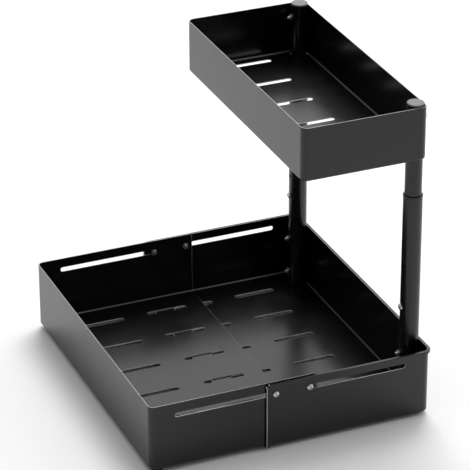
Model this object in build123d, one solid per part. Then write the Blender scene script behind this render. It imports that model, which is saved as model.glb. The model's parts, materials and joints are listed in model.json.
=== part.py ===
"""Two-tier under sink organizer: a pull-out lower tray in two nested halves and a raised tray.

The rear tray stands still. The front tray slides in and out of it, guided by screws in slots.
Two telescopic posts stand against the rear tray's end wall and carry the upper tray.

Frame: +X runs from the front tray towards the posts, +Y away from the near side, +Z up.
The origin is on the surface that the feet stand on, under the middle of the opened organizer.
All sizes are in millimetres.
"""
from build123d import *
import os

os.makedirs("parts", exist_ok=True)

# Sheet metal of the three trays
sheet = 0.9
bend_radius = 2.2
edge_break = 0.25
corner_round = 3.0
overrun = 10.0
touch = 0.02

# Lower tray, in two halves that nest
rear_width = 288.0
rear_length = 156.0
front_length = 153.8
wall_height = 61.7
front_corner_radius = 5.5
rear_corner_radius = 7.0
nest_gap = 0.5
floor_gap = 0.1
slide_gap = 0.1
open_overlap = 47.9
travel = 89.0

# Rolled lip round the rear tray's rim and down its open end
lip_proud = 1.65
lip_band = 2.8
lip_slope = 1.0
lip_inner_corner = 2.2
lip_edge_break = 0.5

# Slots in the floors
slot_rows = 6
slot_pitch = 46.0
slot_length = 38.8
slot_width = 5.5
slot_column_pitch = 62.3
front_slot_inset = 35.4
rear_slot_inset = 36.5

# Guide slots in the side walls, and the screws that run in them
guide_slot_width = 4.2
guide_height = 51.2
guide_end_gap = 0.3
front_guide_edge = 7.1
rear_guide_edge = 9.0
front_guide_spare = 1.4

# Upper tray
upper_length = 115.5
upper_inset = 16.3
upper_height = 48.9
upper_corner_radius = 6.5
tier_clearance = 34.2

# Telescopic posts
lower_tube_diameter = 17.0
lower_tube_wall = 0.5
lower_tube_length = 199.0
upper_tube_diameter = 15.0
upper_tube_wall = 0.8
tube_above_rim = 0.9
post_wall_gap = 0.1
height_step = 20.0
height_steps = 3
lock_height = 95.6
lock_margin = 12.0
post_screw_heights = (15.4, 50.0)
tier_screw_drop = 11.2

# Plastic bush at the top of each lower tube
bush_collar_diameter = 17.4
bush_collar_height = 2.5
bush_sleeve_length = 12.0
running_gap = 0.05
press_gap = 0.02
bush_edge_break = 0.4

# Plastic cap in the top of each upper tube
cap_diameter = 15.0
cap_thickness = 1.6
cap_edge_break = 0.5
cap_plug_length = 7.0
cap_plug_wall = 1.2

# M3 fasteners
screw_diameter = 3.0
screw_hole_gap = 0.1
head_diameter = 6.0
head_height = 1.8
head_top_diameter = 4.2
socket_width = 2.0
socket_depth = 1.1
nut_width = 5.5
nut_height = 2.4
screw_tip = 0.6
post_screw_tip = 2.0
lock_head_gap = 0.2
lock_tip_gap = 0.3

# Rubber feet
foot_diameter = 11.0
foot_height = 3.0
foot_edge_break = 0.8
foot_inset = 9.0

# Heights of the main planes: the raised tray stands clear above the lower tubes
rear_floor = foot_height
front_floor = rear_floor + sheet + floor_gap
rear_rim = rear_floor + wall_height
front_rim = front_floor + wall_height
lower_tube_foot = rear_floor + bend_radius
lower_tube_top = lower_tube_foot + lower_tube_length
upper_floor = lower_tube_top + bush_collar_height + tier_clearance
upper_rim = upper_floor + upper_height

# Half widths, each an outer face
rear_half = rear_width / 2
front_half = rear_half - sheet - nest_gap
upper_half = rear_half - upper_inset

# Places along X, worked out so that the opened organizer is centred on the origin
overall_length = front_length - open_overlap + rear_length + head_height
front_wall_x = -overall_length / 2
front_edge_x = front_wall_x + front_length
rear_edge_x = front_edge_x - open_overlap
rear_wall_x = rear_edge_x + rear_length

# Posts: against the rear tray's end wall, and in the corners of the upper tray
lower_tube_radius = lower_tube_diameter / 2
upper_tube_radius = upper_tube_diameter / 2
post_x = rear_wall_x - sheet - post_wall_gap - lower_tube_radius
post_y = upper_half - sheet - post_wall_gap - upper_tube_radius
upper_wall_x = post_x + upper_tube_radius + post_wall_gap + sheet
lock_z = rear_floor + lock_height
upper_tube_foot = lock_z - lock_margin
upper_tube_top = upper_rim + tube_above_rim
tier_screw_z = upper_rim - tier_screw_drop

# Guide screws: one pair on each half
guide_z = rear_floor + guide_height
front_guide_x = front_edge_x - front_guide_edge
rear_guide_x = rear_edge_x + rear_guide_edge
screw_radius = screw_diameter / 2
hole_radius = screw_radius + screw_hole_gap
guide_slot_length = travel + screw_diameter + 2 * guide_end_gap

SIDES = {"near": -1, "far": 1}


def save(shape, node):
    """Write one node as its own file."""
    export_step(shape, f"parts/{node}.step")


def tray_form(x0, x1, half_width, z0, z1, corner, bend, closed_left, closed_right):
    """Solid outline of a tray: upright corners rounded at closed ends, a bend round the floor."""
    block = Pos((x0 + x1) / 2, 0, (z0 + z1) / 2) * Box(x1 - x0, 2 * half_width, z1 - z0)
    upright = block.edges().filter_by(Axis.Z).group_by(Axis.X)
    corners = (list(upright[0]) if closed_left else []) + (list(upright[-1]) if closed_right else [])
    block = fillet(corners, corner)
    floor_edges = block.edges().group_by(Axis.Z)[0].sort_by(Axis.X)
    first = 0 if closed_left else 1
    last = len(floor_edges) if closed_right else len(floor_edges) - 1
    return fillet(floor_edges[first:last], bend)


def sheet_tray(x0, x1, half_width, z0, z1, corner, closed_left, closed_right):
    """A folded tray of one sheet thickness, open at the top and at each end that isn't closed."""
    outside = tray_form(x0, x1, half_width, z0, z1, corner, bend_radius, closed_left, closed_right)
    inner_x0 = x0 + sheet if closed_left else x0 - overrun
    inner_x1 = x1 - sheet if closed_right else x1 + overrun
    inside = tray_form(inner_x0, inner_x1, half_width - sheet, z0 + sheet, z1 + overrun,
                       corner - sheet, bend_radius - sheet, closed_left, closed_right)
    return outside - inside


def floor_slots(x_centres, floor_z):
    """Rows of long round-ended slots through a floor."""
    slot = extrude(SlotOverall(slot_length, slot_width), sheet + overrun, both=True)
    first_row = -slot_pitch * (slot_rows - 1) / 2
    rows = [first_row + slot_pitch * row for row in range(slot_rows)]
    return [Pos(x, y, floor_z) * slot for x in x_centres for y in rows]


def wall_slot(x0, x1, z):
    """One round-ended slot through both side walls."""
    outline = Plane.XZ * Pos((x0 + x1) / 2, z) * SlotOverall(x1 - x0, guide_slot_width)
    return extrude(outline, rear_half + overrun, both=True)


def hole_along_y(x, z, radius):
    """A hole through both side walls."""
    return Pos(x, 0, z) * Rot(X=90) * Cylinder(radius, 2 * (rear_half + overrun))


def hole_along_x(x0, x1, y, z, radius):
    """A hole from x0 to x1."""
    return Pos((x0 + x1) / 2, y, z) * Rot(Y=90) * Cylinder(radius, x1 - x0)


def follows(edge, corner_x, corner_z, inward, radius):
    """Whether an edge keeps to an L seen from the side: upright at corner_x, level at corner_z.

    The L's corner is rounded, and inward is 1 or -1, the way its level part runs along X.
    """
    box = edge.bounding_box()
    upright = box.min.X > corner_x - touch and box.max.X < corner_x + touch
    level = box.min.Z > corner_z - touch and box.max.Z < corner_z + touch
    turn_x = sorted((corner_x, corner_x + inward * radius))
    turn = (box.min.X > turn_x[0] - touch and box.max.X < turn_x[1] + touch
            and box.max.Z < corner_z + touch and box.min.Z > corner_z - radius - touch)
    return upright or level or turn


def inside_of(edge, half_width, end_x, floor_z):
    """Whether an edge lies no further out than the side walls, the end wall and the floor given."""
    box = edge.bounding_box()
    furthest = max(abs(box.min.Y), abs(box.max.Y))
    return furthest < half_width + touch and box.max.X < end_x + touch and box.min.Z > floor_z - touch


def open_corner_trim(edge_x, top, inward):
    """What rounds off a tray's two top corners at its open end."""
    corner = Pos(edge_x + inward * corner_round / 2, top - corner_round / 2) * Rectangle(
        corner_round, corner_round)
    quarter = Pos(edge_x + inward * corner_round, top - corner_round) * Circle(corner_round)
    return extrude(Plane.XZ * (corner - quarter), rear_half + overrun, both=True)


def lip_side_view():
    """The lip seen from the side: a band under the rim that turns down along the open end."""
    length = rear_wall_x + lip_proud + overrun - rear_edge_x
    height = wall_height + lip_proud + overrun
    whole = Pos(rear_edge_x + length / 2, rear_rim - height / 2) * Rectangle(length, height)
    bare = Pos(lip_band, -lip_band) * whole
    bare = fillet(bare.vertices().group_by(Axis.X)[0].sort_by(Axis.Y)[-1], lip_inner_corner)
    return whole - bare


def rear_tray_shell():
    """The rear tray's folded sheet with its rolled lip, before any hole is cut."""
    sheet_part = sheet_tray(rear_edge_x, rear_wall_x, rear_half, rear_floor, rear_rim,
                            rear_corner_radius, False, True)
    grown = tray_form(rear_edge_x, rear_wall_x + lip_proud, rear_half + lip_proud,
                      rear_floor - lip_proud, rear_rim, rear_corner_radius + lip_proud,
                      bend_radius + lip_proud, False, True)
    inside = tray_form(rear_edge_x - overrun, rear_wall_x - sheet, rear_half - sheet,
                       rear_floor + sheet, rear_rim + overrun, rear_corner_radius - sheet,
                       bend_radius - sheet, False, True)
    band = extrude(Plane.XZ * lip_side_view(), rear_half + overrun, both=True)
    shell = sheet_part + (grown & band) - inside - open_corner_trim(rear_edge_x, rear_rim, 1)
    slope_x = rear_edge_x + lip_band
    slope_z = rear_rim - lip_band
    slope = [edge for edge in shell.edges()
             if follows(edge, slope_x, slope_z, 1, lip_inner_corner)
             and inside_of(edge, rear_half, rear_wall_x, rear_floor)]
    shell = chamfer(slope, lip_slope)
    rim = [edge for edge in shell.edges()
           if follows(edge, rear_edge_x, rear_rim, 1, corner_round)
           and edge.length > sheet + lip_proud + touch]
    outer_rim = [edge for edge in rim if not inside_of(edge, rear_half, rear_wall_x, rear_floor)]
    shell = chamfer(outer_rim, lip_edge_break)
    inner_rim = [edge for edge in shell.edges()
                 if follows(edge, rear_edge_x, rear_rim, 1, corner_round)
                 and edge.length > sheet + lip_proud + touch
                 and inside_of(edge, rear_half - sheet, rear_wall_x - sheet, rear_floor + sheet)]
    return chamfer(inner_rim, edge_break)


def rear_tray():
    """The fixed half of the lower tray, with its rolled lip."""
    tray = rear_tray_shell()
    tray = tray - floor_slots(
        [rear_wall_x - rear_slot_inset - slot_length / 2 - slot_column_pitch * column
         for column in range(2)], rear_floor)
    slot_start = front_guide_x - screw_radius - guide_end_gap
    tray = tray - wall_slot(slot_start, slot_start + guide_slot_length, guide_z)
    tray = tray - hole_along_y(rear_guide_x, guide_z, hole_radius)
    for side in SIDES.values():
        for height in post_screw_heights:
            tray = tray - hole_along_x(post_x, rear_wall_x + overrun, side * post_y,
                                       rear_floor + height, hole_radius)
    return tray


def front_tray():
    """The sliding half of the lower tray."""
    tray = sheet_tray(front_wall_x, front_edge_x, front_half, front_floor, front_rim,
                      front_corner_radius, True, False)
    tray = tray - open_corner_trim(front_edge_x, front_rim, -1)
    rim = [edge for edge in tray.edges()
           if follows(edge, front_edge_x, front_rim, -1, corner_round)
           and edge.length > sheet + touch]
    tray = chamfer(rim, edge_break)
    tray = tray - floor_slots(
        [front_wall_x + front_slot_inset + slot_length / 2 + slot_column_pitch * column
         for column in range(2)], front_floor)
    slot_end = rear_guide_x + screw_radius + guide_end_gap
    tray = tray - wall_slot(slot_end - guide_slot_length - front_guide_spare, slot_end, guide_z)
    return tray - hole_along_y(front_guide_x, guide_z, hole_radius)


def upper_tray():
    """The raised tray, with a hole for each post in its floor."""
    tray = sheet_tray(upper_wall_x - upper_length, upper_wall_x, upper_half, upper_floor, upper_rim,
                      upper_corner_radius, True, True)
    tray = chamfer(tray.edges().group_by(Axis.Z)[-1], edge_break)
    tray = tray - floor_slots([upper_wall_x - upper_length / 2], upper_floor)
    post_hole = Cylinder(upper_tube_radius + post_wall_gap, 2 * bend_radius)
    for side in SIDES.values():
        tray = tray - Pos(post_x, side * post_y, upper_floor) * post_hole
        tray = tray - hole_along_x(post_x, upper_wall_x + overrun, side * post_y,
                                   tier_screw_z, hole_radius)
    return tray


def tube(radius, wall, z0, z1):
    """A round tube along Z, centred on its own axis."""
    centre = Pos(0, 0, (z0 + z1) / 2)
    return centre * (Cylinder(radius, z1 - z0) - Cylinder(radius - wall, z1 - z0))


def lower_tube():
    """The fixed tube of a post: holes for its two screws, and the row of height holes."""
    body = tube(lower_tube_radius, lower_tube_wall, lower_tube_foot, lower_tube_top)
    through = lower_tube_radius + overrun
    for height in post_screw_heights:
        body = body - hole_along_x(-through, through, 0, rear_floor + height, hole_radius)
    for step in range(height_steps + 1):
        body = body - hole_along_x(-through, 0, 0, lock_z + step * height_step, hole_radius)
    return body


def upper_tube():
    """The sliding tube of a post: one lock hole, and a hole for the screw that holds the tray."""
    body = tube(upper_tube_radius, upper_tube_wall, upper_tube_foot, upper_tube_top)
    through = upper_tube_radius + overrun
    body = body - hole_along_x(-through, 0, 0, lock_z, hole_radius)
    return body - hole_along_x(-through, through, 0, tier_screw_z, hole_radius)


def tube_bush():
    """Plastic bush: a collar on the lower tube's end and a thin sleeve that guides the upper tube."""
    bore = upper_tube_radius + running_gap
    sleeve = lower_tube_radius - lower_tube_wall - press_gap
    collar = Cylinder(bush_collar_diameter / 2, bush_collar_height,
                      align=(Align.CENTER, Align.CENTER, Align.MIN))
    collar = chamfer(collar.edges().filter_by(GeomType.CIRCLE).sort_by(Axis.Z)[-1], bush_edge_break)
    body = collar + Cylinder(sleeve, bush_sleeve_length,
                             align=(Align.CENTER, Align.CENTER, Align.MAX))
    body = body - Cylinder(bore, 2 * (bush_sleeve_length + bush_collar_height))
    return Pos(0, 0, lower_tube_top) * body


def tube_cap():
    """Plastic cap: a low disc with a hollow plug that fits inside the upper tube."""
    disc = Cylinder(cap_diameter / 2, cap_thickness, align=(Align.CENTER, Align.CENTER, Align.MIN))
    disc = chamfer(disc.edges().filter_by(GeomType.CIRCLE).sort_by(Axis.Z)[-1], cap_edge_break)
    plug_radius = upper_tube_radius - upper_tube_wall - press_gap
    plug = Cylinder(plug_radius, cap_plug_length, align=(Align.CENTER, Align.CENTER, Align.MAX))
    hollow = Cylinder(plug_radius - cap_plug_wall, cap_plug_length,
                      align=(Align.CENTER, Align.CENTER, Align.MAX))
    return Pos(0, 0, upper_tube_top) * (disc + plug - hollow)


def screw(length):
    """Button head screw, head up, with the underside of its head at the origin."""
    head = Cone(head_diameter / 2, head_top_diameter / 2, head_height,
                align=(Align.CENTER, Align.CENTER, Align.MIN))
    socket = extrude(RegularPolygon(socket_width / 2, 6, major_radius=False), socket_depth)
    head = head - Pos(0, 0, head_height - socket_depth) * socket
    return head + Cylinder(screw_radius, length, align=(Align.CENTER, Align.CENTER, Align.MAX))


def nut():
    """Hexagon nut, its seat at the origin and its body below."""
    block = extrude(RegularPolygon(nut_width / 2, 6, major_radius=False), -nut_height)
    return block - Cylinder(screw_radius + press_gap, 2 * (nut_height + overrun))


def foot(height):
    """Round rubber foot, its rim chamfered where it meets the table."""
    pad = Cylinder(foot_diameter / 2, height, align=(Align.CENTER, Align.CENTER, Align.MIN))
    return chamfer(pad.edges().filter_by(GeomType.CIRCLE).sort_by(Axis.Z)[0], foot_edge_break)


# Trays
save(rear_tray(), "rear_tray")
save(front_tray(), "front_tray")
save(upper_tray(), "upper_tray")

# Guide screws go in from outside, through both side walls, to nuts inside the trays
inner_face = front_half - sheet
rear_grip = rear_half - inner_face + slide_gap
front_grip = rear_half + slide_gap - inner_face
guide_reach = nut_height + screw_tip
for side_name, side in SIDES.items():
    outward = Rot(X=-90 * side)
    rear_seat = Pos(rear_guide_x, side * rear_half, guide_z) * outward
    front_seat = Pos(front_guide_x, side * (rear_half + slide_gap), guide_z) * outward
    save(rear_seat * screw(rear_grip + guide_reach), f"rear_guide_screw_{side_name}")
    save(rear_seat * Pos(0, 0, -rear_grip) * nut(), f"rear_guide_nut_{side_name}")
    save(front_seat * screw(front_grip + guide_reach), f"front_guide_screw_{side_name}")
    save(front_seat * Pos(0, 0, -front_grip) * nut(), f"front_guide_nut_{side_name}")

# Posts. Their screws go in from outside, through the end walls and the tubes, to nuts inside
post_grip = sheet + post_wall_gap + lower_tube_diameter
tier_grip = sheet + post_wall_gap + upper_tube_diameter
post_reach = nut_height + post_screw_tip
lock_length = (lower_tube_radius + lock_head_gap) - (upper_tube_radius + lock_tip_gap)
for side_name, side in SIDES.items():
    axis = Pos(post_x, side * post_y, 0)
    save(axis * lower_tube(), f"lower_tube_{side_name}")
    save(axis * upper_tube(), f"upper_tube_{side_name}")
    save(axis * tube_bush(), f"tube_bush_{side_name}")
    save(axis * tube_cap(), f"tube_cap_{side_name}")
    seats = [Pos(rear_wall_x, side * post_y, rear_floor + height) * Rot(Y=90)
             for height in post_screw_heights]
    save(Compound([seat * screw(post_grip + post_reach) for seat in seats]),
         f"post_screws_{side_name}")
    save(Compound([seat * Pos(0, 0, -post_grip) * nut() for seat in seats]),
         f"post_nuts_{side_name}")
    tier_seat = Pos(upper_wall_x, side * post_y, tier_screw_z) * Rot(Y=90)
    save(tier_seat * screw(tier_grip + post_reach), f"tier_screw_{side_name}")
    save(tier_seat * Pos(0, 0, -tier_grip) * nut(), f"tier_nut_{side_name}")
    lock_seat = axis * Pos(-lower_tube_radius - lock_head_gap, 0, lock_z) * Rot(Y=-90)
    save(lock_seat * screw(lock_length), f"lock_screw_{side_name}")

# Feet, stuck under the closed corners of both halves
for side_name, side in SIDES.items():
    foot_y = side * (front_half - foot_inset)
    front_foot = Pos(front_wall_x + foot_inset, foot_y, 0) * foot(front_floor)
    rear_foot = Pos(rear_wall_x - foot_inset, foot_y, 0) * foot(rear_floor)
    save(front_foot, f"front_foot_{side_name}")
    save(rear_foot, f"rear_foot_{side_name}")
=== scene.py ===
# %% [markdown]
# # A two-tier under sink organizer
# The real object is folded sheet steel with a black powder coat. Two nested halves make the
# lower tray, and two telescopic posts carry a smaller tray above them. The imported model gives
# every piece its place, and this lesson gives each one its surface and finish.

# %% Load the frame
import json
import math

import bmesh
import bpy
import numpy as np
from mathutils import Matrix, Vector


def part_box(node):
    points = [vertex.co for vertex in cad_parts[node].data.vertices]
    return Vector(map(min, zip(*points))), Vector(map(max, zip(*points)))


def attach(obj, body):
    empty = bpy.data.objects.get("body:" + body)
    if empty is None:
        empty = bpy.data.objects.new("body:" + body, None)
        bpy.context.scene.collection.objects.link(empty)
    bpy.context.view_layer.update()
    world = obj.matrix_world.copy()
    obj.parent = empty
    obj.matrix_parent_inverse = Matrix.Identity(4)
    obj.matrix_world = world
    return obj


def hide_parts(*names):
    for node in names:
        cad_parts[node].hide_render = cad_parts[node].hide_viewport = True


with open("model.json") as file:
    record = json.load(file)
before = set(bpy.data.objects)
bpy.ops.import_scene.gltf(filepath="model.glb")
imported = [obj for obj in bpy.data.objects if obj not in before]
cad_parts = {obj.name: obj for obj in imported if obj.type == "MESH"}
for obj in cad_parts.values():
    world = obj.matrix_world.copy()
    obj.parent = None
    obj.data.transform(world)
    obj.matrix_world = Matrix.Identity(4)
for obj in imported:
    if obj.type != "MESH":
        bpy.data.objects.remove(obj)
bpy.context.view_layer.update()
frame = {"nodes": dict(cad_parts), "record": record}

MM = 0.001
SIDES = ("near", "far")
BODY_OF = {node: body for body, nodes in frame["record"]["behaviour"]["bodies"].items()
           for node in nodes}

# %% [markdown]
# ## The camera
# The photograph was taken from far away with a long lens, a little from the left and from
# above. A camera can be placed by trial, or solved from the tray's edges in the picture. It was
# solved here: the place is a real one in millimetres, and the turn is given by three axes.

# %% Camera
CAMERA_PLACE_MM = (-832.59, -1992.73, 1241.58)
CAMERA_RIGHT = (0.920901, -0.389791, -0.002285)
CAMERA_FORWARD = (0.346147, 0.820456, -0.45501)
FOCAL_PIXELS = 2747.38
CENTRE_PIXEL = (236.95, 232.09)
IMAGE_PIXELS = 470
SENSOR_MM = 36.0


def photo_camera():
    """A camera whose axes are the columns of its matrix: right, up and backwards."""
    right = Vector(CAMERA_RIGHT).normalized()
    backward = -Vector(CAMERA_FORWARD).normalized()
    up = backward.cross(right).normalized()
    right = up.cross(backward)
    data = bpy.data.cameras.new("photo_camera")
    data.sensor_width = SENSOR_MM
    data.lens = FOCAL_PIXELS / IMAGE_PIXELS * SENSOR_MM
    data.shift_x = (IMAGE_PIXELS / 2 - CENTRE_PIXEL[0]) / IMAGE_PIXELS
    data.shift_y = (CENTRE_PIXEL[1] - IMAGE_PIXELS / 2) / IMAGE_PIXELS
    data.clip_start = 0.1
    data.clip_end = 50.0
    camera = bpy.data.objects.new("photo_camera", data)
    bpy.context.scene.collection.objects.link(camera)
    turn = Matrix((right, up, backward)).transposed().to_4x4()
    camera.matrix_world = Matrix.Translation(Vector(CAMERA_PLACE_MM) * MM) @ turn
    return camera


bpy.context.scene.camera = photo_camera()
bpy.context.scene.view_settings.view_transform = "Standard"
print("Lens, mm:", round(bpy.context.scene.camera.data.lens, 1))

# %% [markdown]
# ## Colours and nodes
# Finishes are named by the colour that a screen shows, an sRGB hex value, while a shader works
# with linear light. One function turns the one into the other. One small function adds a node,
# sets what it is given and makes its links, so that each finish reads as a short list.


# %% Colour and node helpers
def linear(hex_colour):
    """sRGB hex to linear: a straight line near black, and a power of 2.4 above it."""
    value = np.array([int(hex_colour[i:i + 2], 16) for i in (1, 3, 5)]) / 255
    bent = np.where(value <= 0.04045, value / 12.92, ((value + 0.055) / 1.055) ** 2.4)
    return (*bent.tolist(), 1.0)


def add(tree, kind, links=(), **settings):
    """Add a node, set its sockets and properties by name, and link (its socket, from socket) pairs."""
    node = tree.nodes.new(kind)
    for name, value in settings.items():
        socket = node.inputs.get(name.replace("_", " "))
        if socket is not None and not hasattr(node, name):
            socket.default_value = value
        else:
            setattr(node, name, value)
    for name, source in links:
        tree.links.new(source, node.inputs[name])
    return node


def new_material(name):
    """An empty node material, and its tree."""
    material = bpy.data.materials.new(name)
    material.use_nodes = True
    material.node_tree.nodes.clear()
    return material, material.node_tree


print("Middle grey, linear:", [round(value, 3) for value in linear("#808080")])

# %% [markdown]
# ## The room's light
# A black glossy coat shows the room more than itself: its greys are the room, mirrored weakly
# head on and strongly at grazing angles. So the room is built with care. It could be modelled
# with walls and windows, but light that depends on direction alone is simpler. It is white
# behind the object and dim on the camera's side, which leaves the insides of the near walls
# black. A dark screen stands raised at the left back. The right walls mirror it by way of the
# trays' floors, and it keeps them dark.

# %% Room light
BACK_DIRECTION = (0.5, 0.866, 0.0)
CAMERA_SIDE_STRENGTH = 0.15
BACK_STRENGTH = 1.45
SCREEN_DIRECTION = (-0.42, 0.80, 0.43)
SCREEN_EDGE_COSINE = 0.86
SCREEN_CORE_COSINE = 0.97
SCREEN_STRENGTH = 0.1


def step_toward(tree, axis, cosines, strengths):
    """A smooth step from one strength to the other, over the cosine of the angle to an axis."""
    direction = add(tree, "ShaderNodeTexCoord").outputs["Generated"]
    cosine = add(tree, "ShaderNodeVectorMath", [(0, direction)], operation="DOT_PRODUCT")
    cosine.inputs[1].default_value = axis
    step = add(tree, "ShaderNodeMapRange", [("Value", cosine.outputs["Value"])],
               interpolation_type="SMOOTHSTEP", From_Min=cosines[0], From_Max=cosines[1],
               To_Min=strengths[0], To_Max=strengths[1])
    return step.outputs["Result"]


def studio_world():
    """White light, its strength the room's step times the screen's."""
    world = bpy.data.worlds.new("studio_room")
    world.use_nodes = True
    tree = world.node_tree
    tree.nodes.clear()
    room = step_toward(tree, BACK_DIRECTION, (-1.0, 1.0), (CAMERA_SIDE_STRENGTH, BACK_STRENGTH))
    screen = step_toward(tree, SCREEN_DIRECTION, (SCREEN_EDGE_COSINE, SCREEN_CORE_COSINE),
                         (1.0, SCREEN_STRENGTH))
    both = add(tree, "ShaderNodeMath", [(0, room), (1, screen)], operation="MULTIPLY")
    light = add(tree, "ShaderNodeBackground", [("Strength", both.outputs["Value"])],
                Color=linear("#ffffff"))
    add(tree, "ShaderNodeOutputWorld", [("Surface", light.outputs["Background"])])
    bpy.context.scene.world = world
    return world


print("World:", studio_world().name)

# %% [markdown]
# ## Floor and softbox
# The object stands on a matt white board, which takes its soft shadow and is mirrored by the
# outsides of its walls. A softbox hangs high at the back right. It could be a point or a sun, but
# a wide lamp makes the soft shadow that the matt sheet needs. It lights the rims and the screw
# heads, and the shadow falls to the left front, where the near left corners mirror it.

# %% Floor and softbox
FLOOR_SIZE = 12.0
SOFTBOX_SIZE = 1.0
SOFTBOX_DISTANCE = 2.2
SOFTBOX_AZIMUTH = math.radians(60)
SOFTBOX_ELEVATION = math.radians(60)
SOFTBOX_WATTS = 24.0


def pale_board():
    """Matt white board. It shows its own colour and the soft shadow of what stands on it."""
    material, tree = new_material("matt_white_board")
    shader = add(tree, "ShaderNodeBsdfPrincipled", Base_Color=linear("#fdfdfd"), Roughness=1.0,
                 Specular_IOR_Level=0.0)
    add(tree, "ShaderNodeOutputMaterial", [("Surface", shader.outputs["BSDF"])])
    return material


def studio_floor():
    """A square board at the height that the feet stand on."""
    half = FLOOR_SIZE / 2
    mesh = bpy.data.meshes.new("floor")
    mesh.from_pydata([(-half, -half, 0), (half, -half, 0), (half, half, 0), (-half, half, 0)], [],
                     [(0, 1, 2, 3)])
    mesh.materials.append(pale_board())
    floor = bpy.data.objects.new("floor", mesh)
    bpy.context.scene.collection.objects.link(floor)


def softbox():
    """A square lamp on a sphere round the object, turned to face its middle."""
    data = bpy.data.lights.new("softbox", "AREA")
    data.shape = "SQUARE"
    data.size = SOFTBOX_SIZE
    data.energy = SOFTBOX_WATTS
    lamp = bpy.data.objects.new("softbox", data)
    toward = Vector((math.cos(SOFTBOX_AZIMUTH) * math.cos(SOFTBOX_ELEVATION),
                     math.sin(SOFTBOX_AZIMUTH) * math.cos(SOFTBOX_ELEVATION),
                     math.sin(SOFTBOX_ELEVATION)))
    lamp.location = toward * SOFTBOX_DISTANCE
    lamp.rotation_euler = toward.to_track_quat("Z", "Y").to_euler()
    bpy.context.scene.collection.objects.link(lamp)


studio_floor()
softbox()
print("Floor, m:", FLOOR_SIZE, "softbox, W:", SOFTBOX_WATTS)

# %% [markdown]
# ## Powder coat
# Polyester powder is sprayed on dry and baked, and it melts into a thick semi-matt skin. It
# shows three things: a near black with a cold tint, a soft mirror that strengthens at grazing
# angles, and a faint orange peel. The peel is a low bump, and the gloss drifts a little. Along
# a sheared edge the melted powder pulls back and lies thin, and a pale painted highlight there
# stands for the glint of the rounded edge. In an inner bend a lighter, part metal colour is a
# painted highlight of the light that the rounded bend catches.

# %% Powder coat
# A Mix node's colour sockets go by place, because its socket names repeat. Noise seldom leaves
# the range from low to high.
MIX_DARK, MIX_LIGHT, MIX_RESULT = 6, 7, 2
NOISE_LOW = 0.3
NOISE_HIGH = 0.7
PEEL_WAVE_MM = 1.6
PEEL_HEIGHT_MM = 0.0035
GLOSS_PATCH_MM = 18.0
GLOSS_DRIFT = 0.02


def powder_coat(name, dark, light, roughness, metal=0.0):
    """Baked semi-matt powder: the eye reads it by its soft mirror, far more than by its colour.

    Noise in patches mixes the two colours and drifts the roughness, and a finer noise is the peel.
    """
    material, tree = new_material(name)
    place = add(tree, "ShaderNodeTexCoord").outputs["Object"]
    patches = add(tree, "ShaderNodeTexNoise", [("Vector", place)], Scale=1 / (GLOSS_PATCH_MM * MM),
                  Detail=3.0, Roughness=0.6)
    peel = add(tree, "ShaderNodeTexNoise", [("Vector", place)], Scale=1 / (PEEL_WAVE_MM * MM),
               Detail=2.0, Roughness=0.5)
    colour = add(tree, "ShaderNodeMix", [("Factor", patches.outputs["Fac"])], data_type="RGBA")
    colour.inputs[MIX_DARK].default_value = linear(dark)
    colour.inputs[MIX_LIGHT].default_value = linear(light)
    gloss = add(tree, "ShaderNodeMapRange", [("Value", patches.outputs["Fac"])],
                From_Min=NOISE_LOW, From_Max=NOISE_HIGH, To_Min=roughness - GLOSS_DRIFT,
                To_Max=roughness + GLOSS_DRIFT)
    bump = add(tree, "ShaderNodeBump", [("Height", peel.outputs["Fac"])], Strength=1.0,
               Distance=PEEL_HEIGHT_MM * MM)
    shader = add(tree, "ShaderNodeBsdfPrincipled",
                 [("Base Color", colour.outputs[MIX_RESULT]), ("Roughness", gloss.outputs["Result"]),
                  ("Normal", bump.outputs["Normal"])], IOR=1.5, Metallic=metal)
    add(tree, "ShaderNodeOutputMaterial", [("Surface", shader.outputs["BSDF"])])
    return material


tray_coat = powder_coat("semi_matt_black_powder_coat", "#040405", "#070708", 0.23)
tube_coat = powder_coat("tube_black_powder_coat", "#050506", "#080809", 0.27)
# Painted highlight: the bends' lighter, part metal colour stands for the light that the rounded inner
# bend catches.
painted_bend_highlight = powder_coat("painted_highlight_in_the_bends", "#707072", "#808082", 0.3, 0.6)
# Painted highlight: the pale colour on cut edges and rims stands for the glint of the rounded coat.
painted_edge_highlight = powder_coat("painted_highlight_on_edges", "#c4c4c6", "#d2d2d4", 0.35)
print("Coats:", [coat.name for coat in (tray_coat, tube_coat, painted_bend_highlight, painted_edge_highlight)])

# %% [markdown]
# ## Where each coat lies
# A tray is mostly plain coat. The painted edge highlight lies on the faces that the shear left:
# the walls of slots and holes, the rim and the open end. The painted bend highlight lies in the
# bends round the floor.
# The faces could be picked by hand, but their numbers change with the imported model. So each is
# known by its place, its width and the way it turns.

# %% Mark the painted edge and bend highlights
# Slots of the painted highlights: the pale line of the edges and the lighter line of the bends.
EDGE_HIGHLIGHT_SLOT, BEND_HIGHLIGHT_SLOT = 1, 2
OPEN_SIDE = {"rear_tray": -1, "front_tray": 1}
FLAT_JOIN = math.radians(1)
# How far in from the rim or the open end a face of theirs may lie, and the widest such face.
RIM_BREAK_MM = 0.4
RIM_TOP_MM = 1.3
# How high over a tray's lowest point its bends reach, and the widest strip of a bend.
BEND_MM = 4.5
BEND_STRIP_MM = 0.38
# Just over the sheet, so that a sheared face of its thickness is still shorter.
SHEET_MM = 0.95
# Shares of a face's normal: below the first it lies along an axis, from the second to the third
# it is tilted up, and above the third it is level.
ALONG_AXIS = 0.05
LEAST_TILT = 0.15
LEVEL = 0.95


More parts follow.
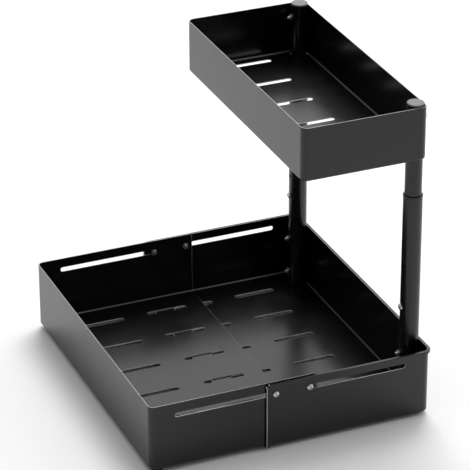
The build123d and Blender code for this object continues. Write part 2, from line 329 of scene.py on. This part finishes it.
def mark_coats(skin, open_side):
    """Set each face's material slot.

    Edge highlight, painted: a face folded from all its neighbours and shorter than the sheet
    along an axis that it lies in, one at the open end, or one of the rim's top and inner break.
    Bend highlight, painted: a narrow face low in the tray that looks inwards and up. Widths are
    areas over the longest edges.
    """
    corners = np.array([vertex.co for vertex in skin.verts])
    middle = (corners.min(axis=0) + corners.max(axis=0)) / 2
    bottom, top = corners[:, 2].min(), corners[:, 2].max()
    half_length = np.ptp(corners[:, 0]) / 2
    for face in skin.faces:
        points = np.array([vertex.co for vertex in face.verts])
        normal = np.array(face.normal)
        centre = points.mean(axis=0)
        width = face.calc_area() / max(edge.calc_length() for edge in face.edges)
        folded = min(edge.calc_face_angle(0) for edge in face.edges) > FLAT_JOIN
        along = np.abs(normal) < ALONG_AXIS
        short = (along & (np.ptp(points, axis=0) < SHEET_MM * MM)).any()
        rim_wide = width < RIM_TOP_MM * MM
        inset = half_length - open_side * (centre[0] - middle[0])
        open_end = open_side and inset < RIM_BREAK_MM * MM and rim_wide
        looks_in = (middle - centre)[:2] @ normal[:2] > 0 and LEAST_TILT < normal[2] < LEVEL
        rim = centre[2] > top - RIM_BREAK_MM * MM and (looks_in or normal[2] > LEVEL) and rim_wide
        # Painted bend highlight: the faces that get the lighter line of the inner bends.
        bend_highlight = looks_in and centre[2] < bottom + BEND_MM * MM and width < BEND_STRIP_MM * MM
        # Painted edge highlight: the faces that get the pale line of the cut edges and rims.
        edge_highlight = (folded and short) or open_end or rim
        face.material_index = BEND_HIGHLIGHT_SLOT if bend_highlight else (EDGE_HIGHLIGHT_SLOT if edge_highlight else 0)


print("Trays with an open end:", list(OPEN_SIDE))

# %% [markdown]
# ## Trays and tubes
# The sheet's outline, its bends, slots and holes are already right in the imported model, which
# holds them as loose triangles. A copy is merged into one skin and gets its coats. A narrow
# rounding then goes along each square edge, because a coat is never sharp. The tubes are drawn
# and painted the same way, and need only the rounding.

# %% Coated copies of the sheet and tube pieces
COAT_EDGE_MM = 0.24
COAT_EDGE_SEGMENTS = 2
SQUARE_EDGE = math.radians(50)
WELD_MM = 0.002


def finish_piece(piece, nodes, material):
    """Give a piece its material, and let it ride and stand for its CAD nodes."""
    piece.data.materials.clear()
    piece.data.materials.append(material)
    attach(piece, BODY_OF[nodes[0]])
    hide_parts(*nodes)
    return piece


def coated_copy(node, material):
    """A merged copy of a CAD node, its coats marked and its square edges rounded."""
    mesh = frame["nodes"][node].data.copy()
    mesh.name = node + "_coated"
    skin = bmesh.new()
    skin.from_mesh(mesh)
    bmesh.ops.remove_doubles(skin, verts=skin.verts, dist=WELD_MM * MM)
    bmesh.ops.dissolve_limit(skin, angle_limit=FLAT_JOIN, verts=skin.verts, edges=skin.edges)
    piece = bpy.data.objects.new(node + "_coated", mesh)
    bpy.context.scene.collection.objects.link(piece)
    finish_piece(piece, [node], material)
    # Two painted highlights: the pale one of the edges and the lighter one of the bends.
    mesh.materials.append(painted_edge_highlight)
    mesh.materials.append(painted_bend_highlight)
    if material is tray_coat:
        mark_coats(skin, OPEN_SIDE.get(node, 0))
    skin.to_mesh(mesh)
    skin.free()
    if "custom_normal" in mesh.attributes:
        mesh.attributes.remove(mesh.attributes["custom_normal"])
    mesh.polygons.foreach_set("use_smooth", np.ones(len(mesh.polygons), bool))
    edge = piece.modifiers.new("coat_edge", "BEVEL")
    edge.width = COAT_EDGE_MM * MM
    edge.segments = COAT_EDGE_SEGMENTS
    edge.limit_method = "ANGLE"
    edge.angle_limit = SQUARE_EDGE
    edge.use_clamp_overlap = False
    piece.modifiers.new("even_shading", "WEIGHTED_NORMAL").keep_sharp = False
    print(node, "coated:", len(mesh.polygons), "faces")
    return piece


for node in ("rear_tray", "front_tray", "upper_tray"):
    coated_copy(node, tray_coat)
for side in SIDES:
    coated_copy("lower_tube_" + side, tube_coat)
    coated_copy("upper_tube_" + side, tube_coat)

# %% [markdown]
# ## Turned surfaces
# Screws, nuts, bushes, caps and feet are all turned shapes: a profile carried round an axis.
# Each is a table of radii and heights, by row along the profile and by column round the axis.
# A radius that changes with the angle gives a hexagon or a thread from the same table.

# %% Turned surfaces
COLUMNS = 48


def turns(columns=COLUMNS):
    """The angle of each column."""
    return np.arange(columns) * 2 * np.pi / columns


def hexagon(across_flats, angle):
    """Distance from a hexagon's middle to its side: half its width over the cosine within each sixth."""
    within = (angle + np.pi / 6) % (np.pi / 3) - np.pi / 6
    return across_flats / 2 / np.cos(within)


def carried_round(radii, heights, columns=COLUMNS):
    """Points (r cos u, r sin u, z) for tables of r and z, and the quads between rows and columns."""
    angle = turns(columns)
    r, z, u = np.broadcast_arrays(np.asarray(radii, float).reshape(len(radii), -1),
                                  np.asarray(heights, float).reshape(len(heights), -1), angle)
    points = np.stack([r * np.cos(u), r * np.sin(u), z], axis=-1).reshape(-1, 3)
    row, column = np.meshgrid(np.arange(len(r) - 1), np.arange(columns), indexing="ij")
    first = row * columns + column
    second = row * columns + (column + 1) % columns
    quads = np.stack([first, first + columns, second + columns, second], axis=-1).reshape(-1, 4)
    return points, quads


print("Columns round an axis:", COLUMNS)

# %% [markdown]
# ## From a shape to a piece
# A shape is worked out upright at the origin, in millimetres. It could be moved as an object,
# but a finished piece keeps its place in its mesh, so the points themselves are turned and
# moved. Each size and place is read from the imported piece's own box.

# %% Place a shape and make the piece
SMOOTH_ANGLE = math.radians(32)
TURNED_WELD_MM = 0.0005
MOSTLY_UPRIGHT = 0.5


def placed(shape, seat, outward, spin=0.0):
    """Spin a shape about its axis, lay the axis along outward, and move its origin to the seat."""
    points, quads = shape
    x = points[:, 0] * np.cos(spin) - points[:, 1] * np.sin(spin)
    y = points[:, 0] * np.sin(spin) + points[:, 1] * np.cos(spin)
    w = np.asarray(outward, float)
    u = np.cross((1.0, 0, 0) if abs(w[2]) > MOSTLY_UPRIGHT else (0, 0, 1.0), w)
    v = np.cross(w, u)
    return np.asarray(seat) + np.outer(x, u) + np.outer(y, v) + np.outer(points[:, 2], w), quads


def turned_piece(node, shapes, material):
    """One mesh from several placed shapes in millimetres, with its poles and seams closed."""
    starts = np.cumsum([0] + [len(points) for points, quads in shapes[:-1]])
    points = np.concatenate([points for points, quads in shapes]) * MM
    quads = np.concatenate([shape[1] + start for shape, start in zip(shapes, starts)])
    mesh = bpy.data.meshes.new(node + "_turned")
    mesh.from_pydata(points.tolist(), [], quads.tolist())
    skin = bmesh.new()
    skin.from_mesh(mesh)
    bmesh.ops.remove_doubles(skin, verts=skin.verts, dist=TURNED_WELD_MM * MM)
    skin.to_mesh(mesh)
    skin.free()
    mesh.polygons.foreach_set("use_smooth", np.ones(len(mesh.polygons), bool))
    mesh.set_sharp_from_angle(angle=SMOOTH_ANGLE)
    piece = bpy.data.objects.new(node + "_turned", mesh)
    bpy.context.scene.collection.objects.link(piece)
    print(node, "turned:", len(mesh.polygons), "faces")
    return finish_piece(piece, [node], material)


def box_mm(node):
    """A CAD node's lowest and highest corners in millimetres."""
    low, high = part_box(node)
    return np.array(low) / MM, np.array(high) / MM


def stacked(node, height):
    """The lowest and the highest box of one height inside a node's box."""
    low, high = box_mm(node)
    return [(low, np.array([high[0], high[1], low[2] + height])),
            (np.array([low[0], low[1], high[2] - height]), high)]


print("Sharp above, degrees:", round(math.degrees(SMOOTH_ANGLE)))

# %% [markdown]
# ## Zinc plated steel
# The screws and nuts are cold headed steel wire with a thin bright zinc plate. It is a pale,
# slightly cold metal with a satin mirror. Barrel plating knocks the parts together, so the
# gloss changes over a few tenths of a millimetre, and that is drawn with a fine noise.

# %% Zinc plate
PLATE_GRAIN_MM = 0.35
PLATE_GRAIN_HEIGHT_MM = 0.002
PLATE_SHINIEST = 0.16
PLATE_DULLEST = 0.3


def zinc_plate():
    """Bright zinc on steel: a pale metal whose highlights are a little broken up."""
    material, tree = new_material("bright_zinc_plate")
    place = add(tree, "ShaderNodeTexCoord").outputs["Object"]
    grain = add(tree, "ShaderNodeTexNoise", [("Vector", place)], Scale=1 / (PLATE_GRAIN_MM * MM),
                Detail=3.0, Roughness=0.6)
    colour = add(tree, "ShaderNodeMix", [("Factor", grain.outputs["Fac"])], data_type="RGBA")
    colour.inputs[MIX_DARK].default_value = linear("#c2c3c6")
    colour.inputs[MIX_LIGHT].default_value = linear("#dcdcdb")
    gloss = add(tree, "ShaderNodeMapRange", [("Value", grain.outputs["Fac"])],
                From_Min=NOISE_LOW, From_Max=NOISE_HIGH, To_Min=PLATE_SHINIEST,
                To_Max=PLATE_DULLEST)
    bump = add(tree, "ShaderNodeBump", [("Height", grain.outputs["Fac"])], Strength=1.0,
               Distance=PLATE_GRAIN_HEIGHT_MM * MM)
    shader = add(tree, "ShaderNodeBsdfPrincipled",
                 [("Base Color", colour.outputs[MIX_RESULT]), ("Roughness", gloss.outputs["Result"]),
                  ("Normal", bump.outputs["Normal"])], Metallic=1.0)
    add(tree, "ShaderNodeOutputMaterial", [("Surface", shader.outputs["BSDF"])])
    return material


zinc = zinc_plate()
print("Plate:", zinc.name)

# %% [markdown]
# ## Button head screws
# An M3 button head screw has a low dome with a hexagon socket, and a thread that climbs half a
# millimetre in each turn. The socket could be cut out with a boolean. One table is cleaner: the
# profile starts on the axis at the socket's floor and comes up its hexagon walls, turns out
# over the dome, in under the head, and down the thread to the tip.

# %% The screw's shape
HEAD_RADIUS = 3.0
HEAD_HEIGHT = 1.8
HEAD_EDGE = 0.25
DOME_FLAT = 0.6
DOME_ROWS = 9
SOCKET_WIDTH = 2.0
SOCKET_DEPTH = 1.1
SOCKET_CONE = 0.3
SOCKET_MOUTH = 1.28
SOCKET_BREAK = 0.12
THREAD_RADIUS = 1.5
THREAD_DEPTH = 0.3
THREAD_PITCH = 0.5
THREAD_ROWS = 6
TIP_RADIUS = 1.1
TIP_LENGTH = 0.4
SCREW_COLUMNS = 24


def dome_height(radius):
    """A quarter ellipse from the flat middle of the dome down to the head's edge."""
    share = np.clip((radius - DOME_FLAT) / (HEAD_RADIUS - DOME_FLAT), 0, 1)
    return HEAD_EDGE + (HEAD_HEIGHT - HEAD_EDGE) * np.sqrt(1 - share ** 2)


def screw_shape(length):
    """Profile: socket floor, hexagon wall, mouth, dome, underside, thread and tip."""
    angle = turns(SCREW_COLUMNS)
    ring = np.ones_like(angle)
    socket = hexagon(SOCKET_WIDTH, angle)
    dome_share = np.sin(np.linspace(0, np.pi / 2, DOME_ROWS))
    dome_r = SOCKET_MOUTH + (HEAD_RADIUS - SOCKET_MOUTH) * dome_share
    top = float(dome_height(SOCKET_MOUTH))
    floor = top - SOCKET_DEPTH
    radii = [0 * ring, socket, socket]
    radii += [r * ring for r in dome_r] + [HEAD_RADIUS * ring, THREAD_RADIUS * ring]
    heights = [(floor - SOCKET_CONE) * ring, floor * ring, (top - SOCKET_BREAK) * ring]
    heights += [float(dome_height(r)) * ring for r in dome_r] + [0 * ring, 0 * ring]
    rows = max(2, int(length / THREAD_PITCH * THREAD_ROWS))
    z = -np.linspace(0, length - TIP_LENGTH, rows)[1:, None]
    ridge = 0.5 - 0.5 * np.cos(2 * np.pi * z / THREAD_PITCH - angle)
    grown_in = np.clip(-z / THREAD_PITCH, 0, 1)
    thread = THREAD_RADIUS - THREAD_DEPTH * ridge * grown_in
    tip = [np.minimum(thread[-1], TIP_RADIUS) * ring, 0 * ring]
    radii = np.concatenate([np.array(radii), thread, np.array(tip)])
    heights = np.concatenate([np.array(heights), z * ring, np.array([-length * ring, -length * ring])])
    return carried_round(radii, heights, SCREW_COLUMNS)


print("Points in a screw of 8 mm:", len(screw_shape(8.0)[0]))

# %% [markdown]
# ## Screws in their places
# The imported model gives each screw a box, and two lie in one box where a post has a pair. A
# screw's head seats at the outer end and its tip reaches the inner one. They could all stand
# alike, but no hand turns two screws to the same angle, so each gets a spin of its own.

# %% Screws
FIRST_SPIN = {"near": 0.35, "far": 0.8}
SPIN_STEP = 0.55


def screw_in(low, high, outward, spin):
    """A screw that fills a box, its head at the outward end and its tip at the other."""
    outward = np.asarray(outward, float)
    reach = abs((high - low) @ outward)
    seat = (low + high) / 2 + outward * (reach / 2 - HEAD_HEIGHT)
    return placed(screw_shape(reach - HEAD_HEIGHT), seat, outward, spin)


for side, out_y in (("near", -1), ("far", 1)):
    spin = FIRST_SPIN[side]
    for node, direction in (("rear_guide_screw_", (0, out_y, 0)), ("front_guide_screw_", (0, out_y, 0)),
                            ("tier_screw_", (1, 0, 0)), ("lock_screw_", (-1, 0, 0))):
        low, high = box_mm(node + side)
        spin += SPIN_STEP
        turned_piece(node + side, [screw_in(low, high, direction, spin)], zinc)
    turned_piece("post_screws_" + side,
                 [screw_in(low, high, (1, 0, 0), spin + low[2]) for low, high in
                  stacked("post_screws_" + side, 2 * HEAD_RADIUS)], zinc)

# %% [markdown]
# ## Hexagon nuts
# A nut is turned from hexagon bar, and both faces are chamfered by a cone. Where a cone meets a
# flat side the cut is a curve. Taking the smaller of the two radii at each angle gives that
# curve for nothing: the hexagon's, and the cone's.

# %% Nuts
NUT_WIDTH = 5.5
NUT_CORNERS = NUT_WIDTH / math.cos(math.pi / 6)
NUT_BORE = 1.36
NUT_MOUTH = 1.65
NUT_FACE = 2.55
NUT_CONE_SLOPE = math.tan(math.radians(30))
NUT_CONE_ROWS = 5


def nut_shape(height):
    """Profile: up the bore, out over the top face, down the sides, and back under the bottom face."""
    angle = turns()
    ring = np.ones_like(angle)
    cone_depth = (NUT_CORNERS / 2 - NUT_FACE) * NUT_CONE_SLOPE
    drop = np.linspace(0, cone_depth, NUT_CONE_ROWS)[:, None]
    side = np.minimum(hexagon(NUT_WIDTH, angle), NUT_FACE + drop / NUT_CONE_SLOPE)
    mouth = NUT_MOUTH - NUT_BORE
    radii = np.concatenate([[NUT_BORE * ring, NUT_BORE * ring, NUT_MOUTH * ring], side, side[::-1],
                            [NUT_MOUTH * ring, NUT_BORE * ring]])
    heights = np.concatenate([[mouth * ring, (height - mouth) * ring, height * ring],
                              (height - drop) * ring, drop[::-1] * ring, [0 * ring, mouth * ring]])
    return carried_round(radii, heights)


def nut_in(low, high, outward, spin):
    """A nut that fills a box, its seat at the inner end."""
    outward = np.asarray(outward, float)
    height = abs((high - low) @ outward)
    return placed(nut_shape(height), (low + high) / 2 - outward * height / 2, outward, spin)


for side, out_y in (("near", 1), ("far", -1)):
    for node, direction, spin in (("rear_guide_nut_", (0, out_y, 0), math.pi / 6),
                                  ("front_guide_nut_", (0, out_y, 0), math.pi / 6),
                                  ("tier_nut_", (-1, 0, 0), 0)):
        turned_piece(node + side, [nut_in(*box_mm(node + side), direction, spin)], zinc)
    turned_piece("post_nuts_" + side, [nut_in(low, high, (-1, 0, 0), 0) for low, high in
                                       stacked("post_nuts_" + side, NUT_CORNERS)], zinc)

# %% [markdown]
# ## Moulded plastic and rubber
# The bushes and caps are injection moulded. A spark eroded mould leaves a fine even texture, so
# the plastic is satin and never mirror bright. The rubber feet are compression moulded and
# duller still. One function makes all three, from a colour, a roughness and a grain size.

# %% Plastic and rubber
MOULD_GRAIN_HEIGHT_MM = 0.004


def moulded(name, dark, light, roughness, grain_mm):
    """Moulded skin: an even satin whose fine grain breaks the highlight's edge."""
    material, tree = new_material(name)
    place = add(tree, "ShaderNodeTexCoord").outputs["Object"]
    grain = add(tree, "ShaderNodeTexNoise", [("Vector", place)], Scale=1 / (grain_mm * MM),
                Detail=4.0, Roughness=0.65)
    colour = add(tree, "ShaderNodeMix", [("Factor", grain.outputs["Fac"])], data_type="RGBA")
    colour.inputs[MIX_DARK].default_value = linear(dark)
    colour.inputs[MIX_LIGHT].default_value = linear(light)
    bump = add(tree, "ShaderNodeBump", [("Height", grain.outputs["Fac"])], Strength=1.0,
               Distance=MOULD_GRAIN_HEIGHT_MM * MM)
    shader = add(tree, "ShaderNodeBsdfPrincipled",
                 [("Base Color", colour.outputs[MIX_RESULT]), ("Normal", bump.outputs["Normal"])],
                 Roughness=roughness, IOR=1.49)
    add(tree, "ShaderNodeOutputMaterial", [("Surface", shader.outputs["BSDF"])])
    return material


black_acetal = moulded("moulded_black_acetal", "#060607", "#0b0b0c", 0.32, 0.8)
grey_nylon = moulded("moulded_grey_nylon", "#606162", "#727373", 0.45, 0.9)
black_rubber = moulded("moulded_black_rubber", "#0c0c0c", "#161616", 0.75, 0.6)
print("Moulded:", [plastic.name for plastic in (black_acetal, grey_nylon, black_rubber)])

# %% [markdown]
# ## Shapes of the bush, cap and foot
# The bush is a thin sleeve between the two tubes with a collar on top. The cap is a low button
# with a hollow plug below it. The foot is a pad with a rounded rim. A bevel could round the rims.
# A quarter circle in the profile does it with fewer faces.

# %% Shapes of the bush, cap and foot
CORNER_ROWS = 6
BUSH_EDGE = 0.45
CAP_EDGE = 0.6
CAP_CROWN = 0.25
FOOT_EDGE = 0.8
FOOT_DISH = 0.5


def quarter(centre_r, centre_z, radius, start):
    """Rows of (r, z) round a quarter circle, from the start angle through a quarter turn clockwise."""
    a = start - np.linspace(0, np.pi / 2, CORNER_ROWS)
    return np.stack([centre_r + radius * np.cos(a), centre_z + radius * np.sin(a)], axis=-1)


def bush_shape(collar_r, collar_height, sleeve_r, sleeve_length, bore_r):
    """Profile of a ring: up the bore, round the collar's two top edges, and down the sleeve."""
    inner = quarter(bore_r + BUSH_EDGE / 2, collar_height - BUSH_EDGE / 2, BUSH_EDGE / 2, np.pi)
    outer = quarter(collar_r - BUSH_EDGE, collar_height - BUSH_EDGE, BUSH_EDGE, np.pi / 2)
    rows = np.concatenate([[(bore_r, -sleeve_length)], inner, outer,
                           [(collar_r, 0), (sleeve_r, 0), (sleeve_r, -sleeve_length),
                            (bore_r, -sleeve_length)]])
    return carried_round(rows[:, 0], rows[:, 1])


def cap_shape(disc_r, disc_height, plug_r, plug_length, wall):
    """Profile: over the low crown, round the rim, down the plug and up inside it."""
    crown_r = np.linspace(0, disc_r - CAP_EDGE, CORNER_ROWS)[:-1]
    crown_z = disc_height - CAP_CROWN * (crown_r / (disc_r - CAP_EDGE)) ** 2
    rim = quarter(disc_r - CAP_EDGE, disc_height - CAP_CROWN - CAP_EDGE, CAP_EDGE, np.pi / 2)
    rows = np.concatenate([np.stack([crown_r, crown_z], axis=-1), rim,
                           [(disc_r, 0), (plug_r, 0), (plug_r, -plug_length),
                            (plug_r - wall, -plug_length), (plug_r - wall, 0), (0, 0)]])
    return carried_round(rows[:, 0], rows[:, 1])


def foot_shape(radius, height):
    """Profile: flat top, straight side, rounded rim, and a shallow dish underneath."""
    rim = quarter(radius - FOOT_EDGE, FOOT_EDGE, FOOT_EDGE, 0)
    dish_r = radius - FOOT_EDGE - FOOT_DISH
    rows = np.concatenate([[(0, height), (radius, height)], rim,
                           [(dish_r, 0), (dish_r - FOOT_DISH, FOOT_DISH), (0, FOOT_DISH)]])
    return carried_round(rows[:, 0], rows[:, 1])


print("Rows round a rim:", CORNER_ROWS)

# %% [markdown]
# ## Bushes, caps and feet
# Collar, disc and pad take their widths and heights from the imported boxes. The sleeve and the
# plug hide inside the tubes, so no box shows their sizes, and they are named here.

# %% Bushes, caps and feet
BUSH_SLEEVE_LENGTH = 12.0
BUSH_SLEEVE_RADIUS = 7.98
BUSH_BORE_RADIUS = 7.55
CAP_PLUG_LENGTH = 7.0
CAP_PLUG_RADIUS = 6.68
CAP_PLUG_WALL = 1.2

for side in SIDES:
    low, high = box_mm("tube_bush_" + side)
    axis = np.array([(low[0] + high[0]) / 2, (low[1] + high[1]) / 2, low[2] + BUSH_SLEEVE_LENGTH])
    turned_piece("tube_bush_" + side,
                 [placed(bush_shape((high[0] - low[0]) / 2, high[2] - axis[2], BUSH_SLEEVE_RADIUS,
                                    BUSH_SLEEVE_LENGTH, BUSH_BORE_RADIUS), axis, (0, 0, 1))],
                 black_acetal)
    low, high = box_mm("tube_cap_" + side)
    axis = np.array([(low[0] + high[0]) / 2, (low[1] + high[1]) / 2, low[2] + CAP_PLUG_LENGTH])
    turned_piece("tube_cap_" + side,
                 [placed(cap_shape((high[0] - low[0]) / 2, high[2] - axis[2], CAP_PLUG_RADIUS,
                                   CAP_PLUG_LENGTH, CAP_PLUG_WALL), axis, (0, 0, 1))],
                 grey_nylon)
    for node in ("front_foot_", "rear_foot_"):
        low, high = box_mm(node + side)
        axis = np.array([(low[0] + high[0]) / 2, (low[1] + high[1]) / 2, low[2]])
        turned_piece(node + side, [placed(foot_shape((high[0] - low[0]) / 2, high[2] - low[2]),
                                          axis, (0, 0, 1))], black_rubber)
